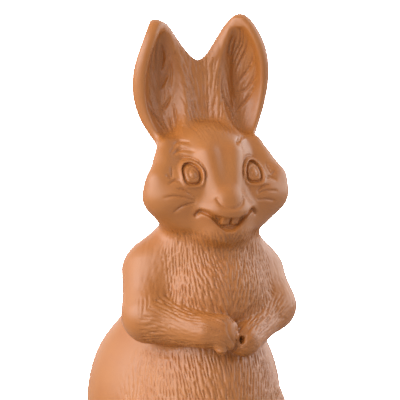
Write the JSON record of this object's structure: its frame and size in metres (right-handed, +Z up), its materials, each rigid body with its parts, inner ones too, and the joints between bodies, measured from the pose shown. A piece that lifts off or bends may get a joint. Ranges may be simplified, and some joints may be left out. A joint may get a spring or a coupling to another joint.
{
  "type": "chocolate bunny",
  "caption": "Moulded milk chocolate rabbit sitting up, with tall cupped ears, a smiling face and paws folded on its belly; solid, with a flat underside.",
  "frame": {"origin": "on the surface that it stands on, under the middle of its bounding box", "axes": "+Z up; the rabbit looks along -Y, and its own right side is towards -X"},
  "size_m": [0.1, 0.1436, 0.2493],
  "materials": {
    "milk_chocolate": "satin moulded milk chocolate"
  },
  "bodies": {
    "root": {"bunny": "milk_chocolate"}
  },
  "joints": []
}
